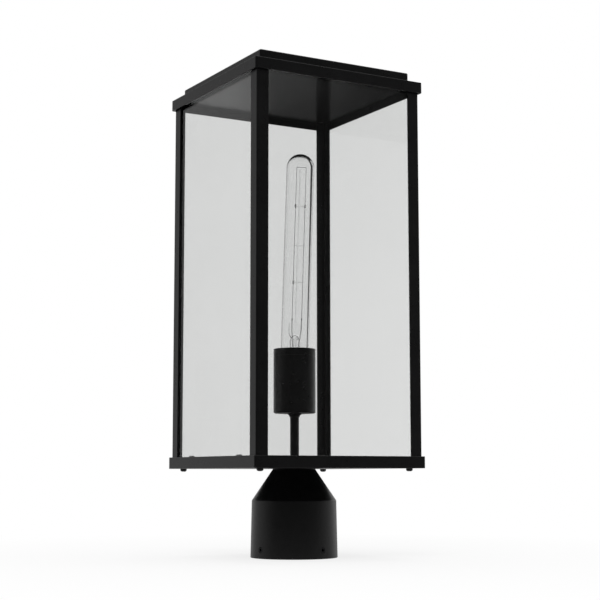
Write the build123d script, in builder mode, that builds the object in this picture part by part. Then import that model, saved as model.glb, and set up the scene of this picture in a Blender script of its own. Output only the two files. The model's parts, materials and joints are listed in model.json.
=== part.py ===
"""Post top lantern: a square glass cage on a tray, over a round fitter that slips on a lamp post.

Millimetres. +Z is up, the origin is the centre of the fitter's open mouth, the front pane faces -Y.
The tray, the fitter and the lampholder stay on the post. The cage lifts off them, the lamp unscrews
and four set screws grip the post.
"""

from build123d import *
from math import cos, radians, sin
import os

os.makedirs("parts", exist_ok=True)

# ---- Driving dimensions ------------------------------------------------------------------------

# Post fitter, a casting with draft on its skirt
fitter_height = 88.0
fitter_skirt_height = 56.4
fitter_mouth_diameter = 87.2
fitter_shoulder_diameter = 84.8
fitter_neck_diameter = 42.8
fitter_neck_height = 0.6
fitter_crown_thickness = 4.0
fitter_crown_bore = 36.0
fitter_shoulder_round = 1.6
fitter_mouth_round = 0.6
fitter_neck_round = 0.3
post_bore_diameter = 79.4
post_stop_height = 54.0
post_stop_width = 3.0
fitter_turn = 11.0  # degrees that the set screws stand away from the lantern's faces

# Set screws that grip the post
set_screw_count = 4
set_screw_diameter = 5.9
set_screw_length = 3.5
set_screw_height = 8.5
set_screw_recess = 0.1
set_screw_clearance = 0.05
set_screw_key = 3.0
set_screw_key_depth = 2.2
set_screw_point = 0.6

# Sheet metal frame: the tray below, the rim above, four angle posts between
frame_width = 190.0
frame_height = 378.0  # from the tray's underside to the rim's lower edge
sheet = 2.0
tray_height = 11.7
rim_width = 191.0
rim_height = 11.0
frame_corner_round = 1.8
sheet_edge_round = 0.5
post_gap = 0.5
post_leg = 12.5
post_thickness = 1.5
post_corner_round = 1.5
end_plate_thickness = 1.5
end_plate_margin = 4.2

# Roof
cap_setback = 9.5
cap_height = 11.0
cap_wall = 1.5
cap_corner_round = 1.6
cap_edge_round = 1.2
liner_thickness = 1.5

# Glass and what holds it
glass_thickness = 3.0
glass_gap = 0.2
glass_side_gap = 0.3
glass_arris = 0.4
pane_frame_width = 16.4
pane_frame_thickness = 2.0
clip_spacing = 104.0
clip_width = 12.0
clip_thickness = 0.8
clip_foot = 9.5
left_clip_rise = 7.4
right_clip_rise = 5.8
clip_bend = 0.6
clip_corner_round = 2.0
rivet_diameter = 3.0
rivet_clearance = 0.05
rivet_head_diameter = 5.0
rivet_head_height = 1.2
rivet_head_round = 0.8
rivet_from_clip = 5.5

# M4 pan head screws
screw_diameter = 4.0
screw_clearance = 0.1
screw_head_diameter = 6.6
screw_head_height = 3.0
screw_head_round = 1.5
screw_slot_width = 1.1
screw_slot_length = 4.0
screw_slot_depth = 1.3
screw_point = 0.4
cage_screw_inset = 11.6
cage_screw_tail = 1.5
roof_screw_inset = 8.5
roof_screw_tail = 0.4
fitter_screw_circle = 27.0
fitter_screw_count = 3
fitter_screw_tail = 1.0

# Stem and its fastenings
stem_diameter = 9.0
stem_bore = 6.6
stem_fit = 0.05
stem_nut_flats = 14.0
stem_nut_thickness = 4.0
nut_chamfer = 0.5
stem_washer_diameter = 17.0
stem_washer_thickness = 1.2
stem_tail = 2.0
bush_flange_diameter = 9.0
bush_flange_thickness = 1.2
bush_wall = 0.7
bush_length = 5.0

# Socket cup
cup_diameter = 42.6
cup_height = 65.2
cup_wall = 1.2
cup_bottom_round = 1.8
cup_lip_round = 0.4
cup_groove_depth = 0.4
cup_groove_width = 0.9
cup_groove_drop = 7.6
cup_above_tray = 55.4
collar_diameter = 15.4
collar_height = 3.9
collar_rim = 0.8
collar_foot_wall = 0.5
collar_flare_radius = 3.4
cup_nut_flats = 13.0
cup_nut_thickness = 4.3

# Lampholder
holder_diameter = 33.6
holder_gap = 0.3
holder_neck_diameter = 15.0
holder_neck_height = 7.0
holder_base_floor = 4.5
holder_base_wall = 1.8
holder_base_depth = 5.0
holder_body_height = 37.5
holder_web = 5.0
holder_passage = 7.0
shell_bore = 27.0
shell_wall = 0.5
shell_height = 26.0
shell_opening = 18.0
contact_width = 5.0
contact_thickness = 0.5
contact_rise = 2.7
contact_top_width = 4.0
contact_span = 11.0
terminal_spacing = 18.0
terminal_diameter = 3.2
terminal_head_diameter = 6.0
terminal_head_height = 2.0
terminal_neck = 2.6
terminal_grip = 3.5

# Tubular lamp
lamp_length = 236.5
lamp_diameter = 28.6
lamp_neck_diameter = 23.2
lamp_neck_height = 6.0
lamp_shoulder_start = 0.8
lamp_shoulder_height = 4.2
lamp_shoulder_round = 4.0
lamp_wall = 1.0
lamp_lean = 1.8  # degrees that the glass leans from its cap
lamp_lean_toward = -29.7  # degrees from +X, seen from above
tip_diameter = 9.4
tip_thickness = 1.5
tip_round = 1.0
tip_gap = 0.3
contact_gap = 0.3
insulator_height = 4.2
insulator_step = 1.0
insulator_gap = 0.15
lamp_cap_height = 24.0
lamp_cap_wall = 0.4
thread_crest_diameter = 26.2
thread_depth = 0.6
thread_pitch = 3.629
thread_turns = 5
thread_start = 1.5

# Lamp mount and filament, measured along the leaning glass from the top of the lamp cap
mount_tube_diameter = 10.0
mount_wall = 1.0
mount_flare_diameter = 21.0
mount_flare_height = 5.0
mount_tube_top = 20.0
mount_waist_diameter = 7.0
mount_waist_height = 4.0
pinch_top = 32.0
pinch_width = 14.0
pinch_thickness = 3.6
pinch_root = 2.0
rod_diameter = 1.6
rod_top_gap = 3.0
strand_spacing = 9.7
strand_shift = 1.2
strand_diameter = 0.6
strand_bend = 1.0
filament_bottom = 35.0
filament_top = 194.0
lead_diameter = 0.8
support_heights = (74.0, 112.0, 153.0)
support_diameter = 0.4
support_eye_diameter = 1.8
support_eye_bore = 0.7
support_eye_height = 0.8

# ---- Levels, half widths and radii worked out from them -------------------------------------------

tray_bottom = fitter_height
tray_floor = tray_bottom + sheet
pane_frame_bottom = tray_floor + end_plate_thickness
glass_bottom = pane_frame_bottom + pane_frame_thickness
rim_bottom = tray_bottom + frame_height
roof_top = rim_bottom + rim_height
roof_plate_bottom = roof_top - sheet
liner_top = roof_plate_bottom - end_plate_thickness
liner_bottom = liner_top - liner_thickness
glass_top = liner_top - glass_gap

frame_half = frame_width / 2
post_half = frame_half - sheet - post_gap
post_inside = post_half - post_thickness
cap_width = frame_width - 2 * cap_setback
pane_outside = post_inside - glass_gap
pane_inside = pane_outside - glass_thickness
pane_middle = pane_outside - glass_thickness / 2
liner_half = pane_inside - glass_side_gap
pane_frame_half = post_inside - glass_gap
clip_outside = pane_inside - glass_side_gap
rivet_position = clip_outside - rivet_from_clip
rivet_hole_radius = rivet_diameter / 2 + rivet_clearance
cage_screw_position = frame_half - cage_screw_inset
roof_screw_position = liner_half - roof_screw_inset
end_plate_inside = roof_screw_position - end_plate_margin
screw_hole_radius = screw_diameter / 2 + screw_clearance

bore_radius = post_bore_diameter / 2
mouth_radius = fitter_mouth_diameter / 2
shoulder_radius = fitter_shoulder_diameter / 2
crown_bottom = fitter_height - fitter_crown_thickness
skirt_draft = (mouth_radius - shoulder_radius) / fitter_skirt_height
set_screw_outside = mouth_radius - skirt_draft * set_screw_height - set_screw_recess
stem_radius = stem_diameter / 2
stem_hole_radius = stem_radius + stem_fit
washer_bottom = crown_bottom - stem_washer_thickness
lower_nut_bottom = washer_bottom - stem_nut_thickness
stem_bottom = lower_nut_bottom - stem_tail
cup_bottom = tray_bottom + cup_above_tray
cup_floor = cup_bottom + cup_wall
cup_top = cup_bottom + cup_height
cup_nut_top = cup_floor + cup_nut_thickness
holder_bottom = cup_nut_top + holder_gap
holder_neck_top = holder_bottom + holder_neck_height
stem_top = holder_neck_top - holder_gap
holder_floor = holder_neck_top + holder_base_floor
holder_body_bottom = holder_floor + holder_base_depth
holder_web_top = holder_body_bottom + holder_web
holder_radius = holder_diameter / 2
shell_bottom = holder_web_top
shell_radius = shell_bore / 2 + shell_wall
contact_top = shell_bottom + shell_wall + contact_rise
terminal_neck_bottom = holder_body_bottom - terminal_neck

lamp_bottom = contact_top + contact_gap
tip_top = lamp_bottom + tip_thickness
insulator_bottom = tip_top + tip_gap
insulator_top = insulator_bottom + insulator_height
lamp_cap_bottom = insulator_top - insulator_step
lamp_cap_top = lamp_cap_bottom + lamp_cap_height
thread_root_radius = thread_crest_diameter / 2 - thread_depth
lamp_cap_bore_radius = thread_root_radius - lamp_cap_wall
lamp_top = lamp_bottom + lamp_length

# The lamp's glass leans, so its own axis leaves the centre of its cap's upper edge at an angle
lean = radians(lamp_lean)
toward = radians(lamp_lean_toward)
lamp_pivot = Vector(0, 0, lamp_cap_top)
lamp_up = Vector(sin(lean) * cos(toward), sin(lean) * sin(toward), cos(lean))
lamp_side = Vector(cos(lean) * cos(toward), cos(lean) * sin(toward), -sin(lean))
lamp_axis = Axis(lamp_pivot, lamp_up)
lamp_level = Plane(origin=lamp_pivot, x_dir=lamp_side, z_dir=lamp_up)
lamp_section = Plane(origin=lamp_pivot, x_dir=lamp_side, z_dir=lamp_side.cross(lamp_up))
lamp_radius = lamp_diameter / 2
lamp_crown_centre = (lamp_top - lamp_cap_top) / cos(lean) - lamp_radius
strand_sides = [strand_shift - strand_spacing / 2, strand_shift + strand_spacing / 2]
strand_points = [(side, 0) for side in strand_sides]

# Where things repeat
set_screw_angles = [fitter_turn + 360 / set_screw_count * index for index in range(set_screw_count)]
corners = {"front_left": (-1, -1), "front_right": (1, -1), "back_left": (-1, 1), "back_right": (1, 1)}
lengthwise_panes = {"front": -1, "back": 1}
crosswise_panes = {"left": -1, "right": 1}


# ---- Shared shapes ------------------------------------------------------------------------------


def radial_plane(angle, radius, height):
    """A plane that faces away from the vertical axis, at an angle in degrees from +X."""
    outward = Vector(cos(radians(angle)), sin(radians(angle)), 0)
    return Plane(origin=outward * radius + Vector(0, 0, height), x_dir=(0, 0, 1), z_dir=outward)


def corner_points(position):
    """The four points at the same distance from both middle lines of the lantern."""
    return [(x * position, y * position) for x, y in corners.values()]


def pan_head_screws(head_plane, points, length):
    """Pan head screws whose heads stand on a plane and whose shanks go back through it."""
    along = Axis(head_plane.origin, head_plane.z_dir)
    with BuildPart() as screws:
        with BuildSketch(head_plane):
            with Locations(*points):
                Circle(screw_diameter / 2)
        extrude(amount=-length)
        chamfer(screws.faces().group_by(along)[0].edges(), screw_point)
        with BuildSketch(head_plane):
            with Locations(*points):
                Circle(screw_head_diameter / 2)
        extrude(amount=screw_head_height)
        fillet(screws.faces().group_by(along)[-1].edges(), screw_head_round)
        with BuildSketch(head_plane.offset(screw_head_height)):
            with Locations(*points):
                Rectangle(screw_slot_length, screw_slot_width)
                Rectangle(screw_slot_width, screw_slot_length)
        extrude(amount=-screw_slot_depth, mode=Mode.SUBTRACT)
    return screws


def hexagon_nut(level, flats, thickness):
    """A nut on the stem, with its upper corners eased."""
    with BuildPart() as nut:
        with BuildSketch(Plane.XY.offset(level)):
            RegularPolygon(flats / 2, 6, major_radius=False)
        extrude(amount=thickness)
        chamfer(nut.faces().sort_by(Axis.Z)[-1].edges(), nut_chamfer)
        with BuildSketch(Plane.XY.offset(level)):
            Circle(stem_hole_radius)
        extrude(amount=thickness, mode=Mode.SUBTRACT)
    return nut


def glass_pane(width, centre, across):
    """A pane that stands on the pane frame, `across` saying which way its thickness goes."""
    with BuildPart() as pane:
        with BuildSketch(Plane.XY.offset(glass_bottom)):
            with Locations(centre):
                if across == "y":
                    Rectangle(width, glass_thickness)
                else:
                    Rectangle(glass_thickness, width)
        extrude(amount=glass_top - glass_bottom)
        chamfer(pane.edges(), glass_arris)
    return pane


def lamp_outline(inset, bottom):
    """Half the outline of the lamp's glass, a distance inside its surface, down to a level."""
    neck = lamp_neck_diameter / 2 - inset
    body = lamp_radius - inset
    shoulder_end = lamp_shoulder_start + lamp_shoulder_height
    with BuildSketch(lamp_section) as outline:
        with BuildLine():
            Polyline(
                (0, bottom),
                (neck, bottom),
                (neck, lamp_shoulder_start),
                (body, shoulder_end),
                (body, lamp_crown_centre),
            )
            CenterArc((0, lamp_crown_centre), body, 0, 90)
            Line((0, lamp_crown_centre + body), (0, bottom))
        make_face()
        shoulder = outline.vertices().sort_by_distance((body, shoulder_end))[0]
        fillet(shoulder, lamp_shoulder_round)
    return outline.sketch


# ---- Post fitter ---------------------------------------------------------------------------------

with BuildPart() as post_fitter:
    with BuildSketch(Plane.XZ) as fitter_section:
        with BuildLine():
            Polyline(
                (0, crown_bottom),
                (fitter_crown_bore / 2, crown_bottom),
                (bore_radius - post_stop_width, post_stop_height),
                (bore_radius, post_stop_height),
                (bore_radius, 0),
                (mouth_radius, 0),
                (shoulder_radius, fitter_skirt_height),
                (fitter_neck_diameter / 2, fitter_height - fitter_neck_height),
                (fitter_neck_diameter / 2, fitter_height),
                (0, fitter_height),
                close=True,
            )
        make_face()
        rounds = {
            (mouth_radius, 0): fitter_mouth_round,
            (shoulder_radius, fitter_skirt_height): fitter_shoulder_round,
            (fitter_neck_diameter / 2, fitter_height - fitter_neck_height): fitter_neck_round,
        }
        for point, radius in rounds.items():
            fillet(fitter_section.vertices().sort_by_distance(point)[0], radius)
    revolve(axis=Axis.Z)
    with Locations((0, 0, fitter_height)):
        Hole(stem_hole_radius)
        with PolarLocations(fitter_screw_circle / 2, fitter_screw_count):
            Hole(screw_hole_radius)
    for angle in set_screw_angles:
        with Locations(radial_plane(angle, mouth_radius, set_screw_height)):
            Hole(set_screw_diameter / 2 + set_screw_clearance, depth=mouth_radius / 2)
post_fitter.part.label = "post_fitter"
export_step(post_fitter.part, "parts/post_fitter.step")

for number, angle in enumerate(set_screw_angles, start=1):
    head_plane = radial_plane(angle, set_screw_outside, set_screw_height)
    with BuildPart() as set_screw:
        with BuildSketch(head_plane):
            Circle(set_screw_diameter / 2)
        extrude(amount=-set_screw_length)
        inner_end = set_screw.faces().sort_by(Axis(head_plane.origin, head_plane.z_dir))[0]
        chamfer(inner_end.edges(), set_screw_point)
        with BuildSketch(head_plane):
            RegularPolygon(set_screw_key / 2, 6, major_radius=False)
        extrude(amount=-set_screw_key_depth, mode=Mode.SUBTRACT)
    set_screw.part.label = f"set_screw_{number}"
    export_step(set_screw.part, f"parts/set_screw_{number}.step")

# ---- Tray and the screws through it ---------------------------------------------------------------

with BuildPart() as base_tray:
    with BuildSketch(Plane.XY.offset(tray_bottom)):
        RectangleRounded(frame_width, frame_width, frame_corner_round)
    extrude(amount=tray_height)
    fillet(base_tray.faces().sort_by(Axis.Z)[0].edges(), sheet_edge_round)
    fillet(base_tray.faces().sort_by(Axis.Z)[-1].edges(), sheet_edge_round)
    with BuildSketch(Plane.XY.offset(tray_floor)):
        Rectangle(frame_width - 2 * sheet, frame_width - 2 * sheet)
    extrude(amount=tray_height, mode=Mode.SUBTRACT)
    with Locations((0, 0, tray_floor)):
        Hole(stem_hole_radius)
        with PolarLocations(fitter_screw_circle / 2, fitter_screw_count):
            Hole(screw_hole_radius)
        with GridLocations(2 * cage_screw_position, 2 * cage_screw_position, 2, 2):
            Hole(screw_hole_radius)
base_tray.part.label = "base_tray"
export_step(base_tray.part, "parts/base_tray.step")

fitter_screw_points = [
    radial_plane(360 / fitter_screw_count * index, fitter_screw_circle / 2, 0).origin
    for index in range(fitter_screw_count)
]
fitter_screws = pan_head_screws(
    Plane.XY.offset(tray_floor),
    fitter_screw_points,
    sheet + fitter_crown_thickness + fitter_screw_tail,
)
fitter_screws.part.label = "fitter_screws"
export_step(fitter_screws.part, "parts/fitter_screws.step")

cage_screws = pan_head_screws(
    Plane(origin=(0, 0, tray_bottom), x_dir=(1, 0, 0), z_dir=(0, 0, -1)),
    corner_points(cage_screw_position),
    glass_bottom - tray_bottom + cage_screw_tail,
)
cage_screws.part.label = "cage_screws"
export_step(cage_screws.part, "parts/cage_screws.step")

# ---- Cage: angle posts, pane frame, clips, glass and roof ------------------------------------------

for corner, (x, y) in corners.items():
    leg_middle = post_half - post_leg / 2
    hollow_middle = post_inside - post_leg / 2
    plate_middle = (post_half + end_plate_inside) / 2
    plate_width = post_half - end_plate_inside
    with BuildPart() as angle_post:
        with BuildSketch(Plane.XY.offset(tray_floor)) as angle_section:
            with Locations((x * leg_middle, y * leg_middle)):
                Rectangle(post_leg, post_leg)
            with Locations((x * hollow_middle, y * hollow_middle)):
                Rectangle(post_leg, post_leg, mode=Mode.SUBTRACT)
            outer_corner = angle_section.vertices().sort_by_distance((x * post_half, y * post_half))[0]
            fillet(outer_corner, post_corner_round)
        extrude(amount=roof_plate_bottom - tray_floor)
        with BuildSketch(Plane.XY.offset(tray_floor), Plane.XY.offset(liner_top)) as end_plates:
            with Locations((x * plate_middle, y * plate_middle)):
                Rectangle(plate_width, plate_width)
            outer_corner = end_plates.vertices().sort_by_distance((x * post_half, y * post_half))[0]
            fillet(outer_corner, post_corner_round)
        extrude(amount=end_plate_thickness)
        with Locations((x * cage_screw_position, y * cage_screw_position, pane_frame_bottom)):
            Hole(screw_hole_radius, depth=end_plate_thickness)
        with Locations((x * roof_screw_position, y * roof_screw_position, roof_plate_bottom)):
            Hole(screw_hole_radius, depth=end_plate_thickness)
    angle_post.part.label = f"post_{corner}"
    export_step(angle_post.part, f"parts/post_{corner}.step")

clip_points = [(x * rivet_position, y * clip_spacing / 2) for x, y in corners.values()]

with BuildPart() as pane_frame:
    with BuildSketch(Plane.XY.offset(pane_frame_bottom)):
        Rectangle(2 * pane_frame_half, 2 * pane_frame_half)
        inner_width = 2 * (pane_frame_half - pane_frame_width)
        Rectangle(inner_width, inner_width, mode=Mode.SUBTRACT)
        with Locations(*corner_points(cage_screw_position)):
            Circle(screw_hole_radius, mode=Mode.SUBTRACT)
        with Locations(*clip_points):
            Circle(rivet_hole_radius, mode=Mode.SUBTRACT)
    extrude(amount=pane_frame_thickness)
pane_frame.part.label = "pane_frame"
export_step(pane_frame.part, "parts/pane_frame.step")

with BuildPart() as pane_clips:
    for x, y in corners.values():
        middle = y * clip_spacing / 2
        foot_middle = x * (clip_outside - clip_foot / 2)
        tab_middle = x * (clip_outside - clip_thickness / 2)
        clip_rise = left_clip_rise if x < 0 else right_clip_rise
        with BuildSketch(Plane.XY.offset(glass_bottom)):
            with Locations((foot_middle, middle)):
                Rectangle(clip_foot, clip_width)
            with Locations((x * rivet_position, middle)):
                Circle(rivet_hole_radius, mode=Mode.SUBTRACT)
        extrude(amount=clip_thickness)
        with BuildSketch(Plane.YZ.offset(tab_middle)) as tab:
            with Locations((middle, glass_bottom + clip_rise / 2)):
                Rectangle(clip_width, clip_rise)
            fillet(tab.vertices().group_by(Axis.Y)[-1], clip_corner_round)
        extrude(amount=clip_thickness / 2, both=True)
    inner_bends = pane_clips.edges().filter_by(Axis.Y).group_by(Axis.Z)[1]
    inner_bends = inner_bends.filter_by(lambda bend: abs(bend.center().X) > rivet_position)
    fillet(inner_bends, clip_bend)
pane_clips.part.label = "pane_clips"
export_step(pane_clips.part, "parts/pane_clips.step")

with BuildPart() as clip_rivets:
    with BuildSketch(Plane.XY.offset(pane_frame_bottom)):
        with Locations(*clip_points):
            Circle(rivet_diameter / 2)
    extrude(amount=pane_frame_thickness + clip_thickness)
    with BuildSketch(Plane.XY.offset(glass_bottom + clip_thickness)):
        with Locations(*clip_points):
            Circle(rivet_head_diameter / 2)
    extrude(amount=rivet_head_height)
    fillet(clip_rivets.faces().group_by(Axis.Z)[-1].edges(), rivet_head_round)
clip_rivets.part.label = "clip_rivets"
export_step(clip_rivets.part, "parts/clip_rivets.step")

for side, sign in lengthwise_panes.items():
    pane = glass_pane(2 * pane_outside, (0, sign * pane_middle), "y")
    pane.part.label = f"pane_{side}"
    export_step(pane.part, f"parts/pane_{side}.step")

for side, sign in crosswise_panes.items():
    pane = glass_pane(2 * (pane_inside - glass_side_gap), (sign * pane_middle, 0), "x")
    pane.part.label = f"pane_{side}"
    export_step(pane.part, f"parts/pane_{side}.step")

with BuildPart() as roof_rim:
    with BuildSketch(Plane.XY.offset(rim_bottom)):
        RectangleRounded(rim_width, rim_width, frame_corner_round)
    extrude(amount=rim_height)
    fillet(roof_rim.faces().sort_by(Axis.Z)[0].edges(), sheet_edge_round)
    fillet(roof_rim.faces().sort_by(Axis.Z)[-1].edges(), sheet_edge_round)
    with BuildSketch(Plane.XY.offset(rim_bottom)):
        Rectangle(rim_width - 2 * sheet, rim_width - 2 * sheet)
    extrude(amount=rim_height - sheet, mode=Mode.SUBTRACT)
    with Locations((0, 0, roof_top)):
        with GridLocations(2 * roof_screw_position, 2 * roof_screw_position, 2, 2):
            Hole(screw_hole_radius)
roof_rim.part.label = "roof_rim"
export_step(roof_rim.part, "parts/roof_rim.step")

with BuildPart() as roof_liner:
    with BuildSketch(Plane.XY.offset(liner_bottom)):
        Rectangle(2 * liner_half, 2 * liner_half)
        with Locations(*corner_points(roof_screw_position)):
            Circle(screw_hole_radius, mode=Mode.SUBTRACT)
    extrude(amount=liner_thickness)
roof_liner.part.label = "roof_liner"
export_step(roof_liner.part, "parts/roof_liner.step")

roof_screws = pan_head_screws(
    Plane.XY.offset(roof_top),
    corner_points(roof_screw_position),
    roof_top - liner_bottom + roof_screw_tail,
)
roof_screws.part.label = "roof_screws"
export_step(roof_screws.part, "parts/roof_screws.step")

with BuildPart() as roof_cap:
    with BuildSketch(Plane.XY.offset(roof_top)):
        RectangleRounded(cap_width, cap_width, cap_corner_round)
    extrude(amount=cap_height)
    fillet(roof_cap.faces().sort_by(Axis.Z)[-1].edges(), cap_edge_round)
    with BuildSketch(Plane.XY.offset(roof_top)):
        Rectangle(cap_width - 2 * cap_wall, cap_width - 2 * cap_wall)
    extrude(amount=cap_height - cap_wall, mode=Mode.SUBTRACT)
roof_cap.part.label = "roof_cap"
export_step(roof_cap.part, "parts/roof_cap.step")

# ---- Stem and its fastenings -------------------------------------------------------------------------

with BuildPart() as stem:
    with BuildSketch(Plane.XY.offset(stem_bottom)):
        Circle(stem_radius)
        Circle(stem_bore / 2, mode=Mode.SUBTRACT)
    extrude(amount=stem_top - stem_bottom)
stem.part.label = "stem"
export_step(stem.part, "parts/stem.step")

with BuildPart() as stem_washer:
    with BuildSketch(Plane.XY.offset(washer_bottom)):
        Circle(stem_washer_diameter / 2)
        Circle(stem_hole_radius, mode=Mode.SUBTRACT)
    extrude(amount=stem_washer_thickness)
stem_washer.part.label = "stem_washer"
export_step(stem_washer.part, "parts/stem_washer.step")

lower_nut = hexagon_nut(lower_nut_bottom, stem_nut_flats, stem_nut_thickness)
lower_nut.part.label = "stem_lower_nut"
export_step(lower_nut.part, "parts/stem_lower_nut.step")

upper_nut = hexagon_nut(tray_floor, stem_nut_flats, stem_nut_thickness)
upper_nut.part.label = "stem_upper_nut"
export_step(upper_nut.part, "parts/stem_upper_nut.step")

with BuildPart() as stem_bush:
    sleeve_radius = stem_bore / 2 - stem_fit
    with BuildSketch(Plane.XY.offset(stem_bottom - bush_flange_thickness)):
        Circle(bush_flange_diameter / 2)
    extrude(amount=bush_flange_thickness)
    with BuildSketch(Plane.XY.offset(stem_bottom)):
        Circle(sleeve_radius)
    extrude(amount=bush_length)
    with BuildSketch(Plane.XY.offset(stem_bottom - bush_flange_thickness)):
        Circle(sleeve_radius - bush_wall)
    extrude(amount=bush_flange_thickness + bush_length, mode=Mode.SUBTRACT)
stem_bush.part.label = "stem_bush"
export_step(stem_bush.part, "parts/stem_bush.step")

with BuildPart() as stem_collar:
    collar_foot_radius = stem_hole_radius + collar_foot_wall
    with BuildSketch(Plane.XZ):
        with BuildLine():
            Line((stem_hole_radius, cup_bottom), (collar_diameter / 2, cup_bottom))
            Line((collar_diameter / 2, cup_bottom), (collar_diameter / 2, cup_bottom - collar_rim))
            RadiusArc(
                (collar_diameter / 2, cup_bottom - collar_rim),
                (collar_foot_radius, cup_bottom - collar_height),
                -collar_flare_radius,
            )
            Line(
                (collar_foot_radius, cup_bottom - collar_height),
                (stem_hole_radius, cup_bottom - collar_height),
            )
            Line((stem_hole_radius, cup_bottom - collar_height), (stem_hole_radius, cup_bottom))
        make_face()
    revolve(axis=Axis.Z)
stem_collar.part.label = "stem_collar"
export_step(stem_collar.part, "parts/stem_collar.step")

cup_nut = hexagon_nut(cup_floor, cup_nut_flats, cup_nut_thickness)
cup_nut.part.label = "cup_nut"
export_step(cup_nut.part, "parts/cup_nut.step")

# ---- Socket cup and lampholder -----------------------------------------------------------------------

with BuildPart() as socket_cup:
    cup_radius = cup_diameter / 2
    with BuildSketch(Plane.XY.offset(cup_bottom)):
        Circle(cup_radius)
    extrude(amount=cup_height)
    fillet(socket_cup.faces().sort_by(Axis.Z)[0].edges(), cup_bottom_round)
    fillet(socket_cup.faces().sort_by(Axis.Z)[-1].edges(), cup_lip_round)
    with BuildSketch(Plane.XY.offset(cup_top - cup_groove_drop - cup_groove_width / 2)):
        Circle(cup_radius)
        Circle(cup_radius - cup_groove_depth, mode=Mode.SUBTRACT)
    extrude(amount=cup_groove_width, mode=Mode.SUBTRACT)
    with BuildSketch(Plane.XY.offset(cup_floor)):
        Circle(cup_radius - cup_wall)
    extrude(amount=cup_height, mode=Mode.SUBTRACT)
    with Locations((0, 0, cup_floor)):
        Hole(stem_hole_radius)
socket_cup.part.label = "socket_cup"
export_step(socket_cup.part, "parts/socket_cup.step")

with BuildPart() as holder_base:
    with BuildSketch(Plane.XY.offset(holder_bottom)):
        Circle(holder_neck_diameter / 2)
    extrude(amount=holder_neck_height)
    with BuildSketch(Plane.XY.offset(holder_neck_top)):
        Circle(holder_radius)
    extrude(amount=holder_base_floor + holder_base_depth)
    with BuildSketch(Plane.XY.offset(holder_floor)):
        Circle(holder_radius - holder_base_wall)
    extrude(amount=holder_base_depth, mode=Mode.SUBTRACT)
    with BuildSketch(Plane.XY.offset(holder_bottom)):
        Circle(stem_hole_radius)
    extrude(amount=holder_neck_height, mode=Mode.SUBTRACT)
    with BuildSketch(Plane.XY.offset(holder_neck_top)):
        Circle(holder_passage / 2)
    extrude(amount=holder_base_floor, mode=Mode.SUBTRACT)
holder_base.part.label = "holder_base"
export_step(holder_base.part, "parts/holder_base.step")

terminal_points = [(-terminal_spacing / 2, 0), (terminal_spacing / 2, 0)]

with BuildPart() as holder_body:
    with BuildSketch(Plane.XY.offset(holder_body_bottom)):
        Circle(holder_radius)
    extrude(amount=holder_body_height)
    with BuildSketch(Plane.XY.offset(holder_web_top)):
        Circle(shell_radius + holder_gap)
    extrude(amount=holder_body_height - holder_web, mode=Mode.SUBTRACT)
    with BuildSketch(Plane.XY.offset(holder_body_bottom)):
        with Locations(*terminal_points):
            Circle(terminal_diameter / 2 + stem_fit)
    extrude(amount=terminal_grip, mode=Mode.SUBTRACT)
holder_body.part.label = "holder_body"
export_step(holder_body.part, "parts/holder_body.step")

with BuildPart() as terminal_screws:
    with BuildSketch(Plane.XY.offset(terminal_neck_bottom - terminal_head_height)):
        with Locations(*terminal_points):
            Circle(terminal_head_diameter / 2)
    extrude(amount=terminal_head_height)
    with BuildSketch(Plane.XY.offset(terminal_neck_bottom)):
        with Locations(*terminal_points):
            Circle(terminal_diameter / 2)
    extrude(amount=terminal_neck + terminal_grip)
terminal_screws.part.label = "terminal_screws"
export_step(terminal_screws.part, "parts/terminal_screws.step")

with BuildPart() as screw_shell:
    with BuildSketch(Plane.XY.offset(shell_bottom)):
        Circle(shell_radius)
    extrude(amount=shell_height)
    with BuildSketch(Plane.XY.offset(shell_bottom + shell_wall)):
        Circle(shell_bore / 2)
    extrude(amount=shell_height, mode=Mode.SUBTRACT)
    with BuildSketch(Plane.XY.offset(shell_bottom)):
        Circle(shell_opening / 2)
    extrude(amount=shell_wall, mode=Mode.SUBTRACT)
screw_shell.part.label = "screw_shell"
export_step(screw_shell.part, "parts/screw_shell.step")

with BuildPart() as holder_contact:
    half_top = contact_top_width / 2
    half_span = contact_span / 2
    with BuildSketch(Plane.XZ):
        with BuildLine():
            Polyline(
                (-half_span, shell_bottom),
                (-half_top - contact_thickness, shell_bottom),
                (-half_top - contact_thickness, contact_top - contact_thickness),
                (half_top + contact_thickness, contact_top - contact_thickness),
                (half_top + contact_thickness, shell_bottom),
                (half_span, shell_bottom),
                (half_span, shell_bottom + contact_thickness),
                (half_top + 2 * contact_thickness, shell_bottom + contact_thickness),
                (half_top + 2 * contact_thickness, contact_top),
                (-half_top - 2 * contact_thickness, contact_top),
                (-half_top - 2 * contact_thickness, shell_bottom + contact_thickness),
                (-half_span, shell_bottom + contact_thickness),
                close=True,
            )
        make_face()
    extrude(amount=contact_width / 2, both=True)
holder_contact.part.label = "holder_contact"
export_step(holder_contact.part, "parts/holder_contact.step")

# ---- Lamp ----------------------------------------------------------------------------------------------

with BuildPart() as lamp_tip:
    with BuildSketch(Plane.XY.offset(lamp_bottom)):
        Circle(tip_diameter / 2)
    extrude(amount=tip_thickness)
    fillet(lamp_tip.faces().sort_by(Axis.Z)[0].edges(), tip_round)
lamp_tip.part.label = "lamp_tip"
export_step(lamp_tip.part, "parts/lamp_tip.step")

with BuildPart() as lamp_insulator:
    insulator_radius = lamp_cap_bore_radius - insulator_gap
    with BuildSketch(Plane.XZ):
        with BuildLine():
            Polyline(
                (0, insulator_bottom),
                (tip_diameter / 2, insulator_bottom),
                (insulator_radius, lamp_cap_bottom),
                (insulator_radius, insulator_top),
                (0, insulator_top),
                close=True,
            )
        make_face()
    revolve(axis=Axis.Z)
lamp_insulator.part.label = "lamp_insulator"
export_step(lamp_insulator.part, "parts/lamp_insulator.step")

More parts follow.
